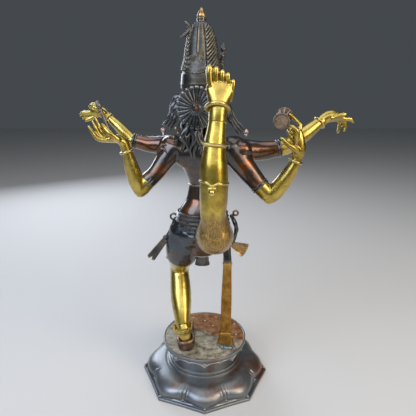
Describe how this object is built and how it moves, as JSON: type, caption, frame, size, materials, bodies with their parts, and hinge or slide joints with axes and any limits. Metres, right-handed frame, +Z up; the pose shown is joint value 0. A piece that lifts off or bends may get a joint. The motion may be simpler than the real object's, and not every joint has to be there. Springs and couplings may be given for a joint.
{
  "type": "nataraja statue",
  "caption": "Cast brass dancing nataraja with four arms, one leg raised behind the back, a wheel behind the head, on a lotus pedestal with a support strut.",
  "frame": {"origin": "middle of the pedestal's underside", "axes": "+Z up, +Y the way the dancer looks, +X to the dancer's right"},
  "size_m": [0.5961, 0.3388, 0.8118],
  "materials": {
    "dark_patina": "dark brown-black patina, waxed, worn to copper brown on edges",
    "polished_brass": "hand-polished, lacquered",
    "cast_brass": "fettled and brushed, unpolished"
  },
  "bodies": {
    "root": {"pedestal": "dark_patina", "figure": "dark_patina", "support_strut": "cast_brass"}
  },
  "joints": []
}
